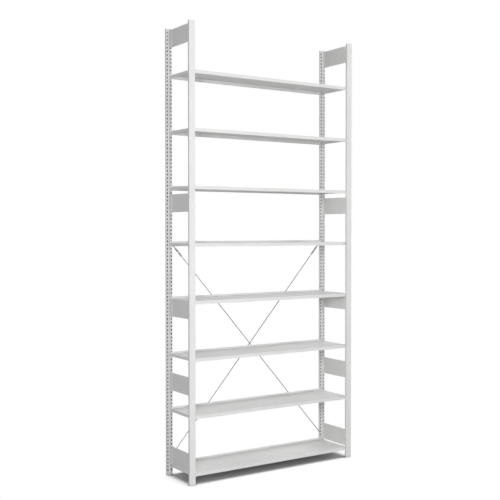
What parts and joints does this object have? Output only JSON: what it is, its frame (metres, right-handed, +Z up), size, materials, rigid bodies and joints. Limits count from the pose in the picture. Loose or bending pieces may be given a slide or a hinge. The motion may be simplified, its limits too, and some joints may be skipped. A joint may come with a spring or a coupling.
{
  "type": "library shelving bay",
  "caption": "Tall open steel shelving bay reached from both faces, with slotted posts, clip-held shelves and a rear cross brace",
  "frame": {"origin": "on the floor under the middle of the bay's footprint", "axes": "+X along the shelves to the right as seen from the front, +Y from the front posts to the rear posts and the cross brace, +Z up"},
  "size_m": [1.355, 0.329, 3.01],
  "materials": {
    "post_steel": "satin powder coat",
    "foot_plastic": "moulded",
    "panel_steel": "satin powder coat",
    "shelf_steel": "satin powder coat",
    "clip_steel": "zinc plated",
    "rod_steel": "zinc plated",
    "turnbuckle_steel": "zinc plated"
  },
  "bodies": {
    "frame": {"post_front_left": "post_steel", "post_front_right": "post_steel", "post_rear_left": "post_steel", "post_rear_right": "post_steel", "foot_front_left": "foot_plastic", "foot_front_right": "foot_plastic", "foot_rear_left": "foot_plastic", "foot_rear_right": "foot_plastic", "side_panel_left_1": "panel_steel", "side_panel_left_2": "panel_steel", "side_panel_left_3": "panel_steel", "side_panel_left_4": "panel_steel", "side_panel_left_5": "panel_steel", "side_panel_right_1": "panel_steel", "side_panel_right_2": "panel_steel", "side_panel_right_3": "panel_steel", "side_panel_right_4": "panel_steel", "side_panel_right_5": "panel_steel", "clips_shelf_1": "clip_steel", "clips_shelf_2": "clip_steel", "clips_shelf_3": "clip_steel", "clips_shelf_4": "clip_steel", "clips_shelf_5": "clip_steel", "clips_shelf_6": "clip_steel", "clips_shelf_7": "clip_steel", "clips_shelf_8": "clip_steel", "brace_hook_left": "rod_steel", "brace_rod_left": "rod_steel", "brace_hook_right": "rod_steel", "brace_rod_right": "rod_steel"},
    "shelf_1": {"shelf_1": "shelf_steel"},
    "shelf_2": {"shelf_2": "shelf_steel"},
    "shelf_3": {"shelf_3": "shelf_steel"},
    "shelf_4": {"shelf_4": "shelf_steel"},
    "shelf_5": {"shelf_5": "shelf_steel"},
    "shelf_6": {"shelf_6": "shelf_steel"},
    "shelf_7": {"shelf_7": "shelf_steel"},
    "shelf_8": {"shelf_8": "shelf_steel"},
    "turnbuckle_left": {"turnbuckle_left": "turnbuckle_steel"},
    "turnbuckle_right": {"turnbuckle_right": "turnbuckle_steel"}
  },
  "joints": [
    {"name": "shelf_1_lift", "type": "slide", "parent": "frame", "child": "shelf_1", "axis": [0, 0, 1], "range_m": [0, 0.06]},
    {"name": "shelf_2_lift", "type": "slide", "parent": "frame", "child": "shelf_2", "axis": [0, 0, 1], "range_m": [0, 0.06]},
    {"name": "shelf_3_lift", "type": "slide", "parent": "frame", "child": "shelf_3", "axis": [0, 0, 1], "range_m": [0, 0.06]},
    {"name": "shelf_4_lift", "type": "slide", "parent": "frame", "child": "shelf_4", "axis": [0, 0, 1], "range_m": [0, 0.06]},
    {"name": "shelf_5_lift", "type": "slide", "parent": "frame", "child": "shelf_5", "axis": [0, 0, 1], "range_m": [0, 0.06]},
    {"name": "shelf_6_lift", "type": "slide", "parent": "frame", "child": "shelf_6", "axis": [0, 0, 1], "range_m": [0, 0.06]},
    {"name": "shelf_7_lift", "type": "slide", "parent": "frame", "child": "shelf_7", "axis": [0, 0, 1], "range_m": [0, 0.06]},
    {"name": "shelf_8_lift", "type": "slide", "parent": "frame", "child": "shelf_8", "axis": [0, 0, 1], "range_m": [0, 0.06]},
    {"name": "turnbuckle_left_turn", "type": "hinge", "parent": "frame", "child": "turnbuckle_left", "pos_m": [-0.58392, 0.15345, 1.51013], "axis": [-0.6611, 0, 0.7503], "range_deg": [-1440, 1440]},
    {"name": "turnbuckle_right_turn", "type": "hinge", "parent": "frame", "child": "turnbuckle_right", "pos_m": [0.58392, 0.15955, 1.51013], "axis": [0.6611, 0, 0.7503], "range_deg": [-1440, 1440]}
  ]
}
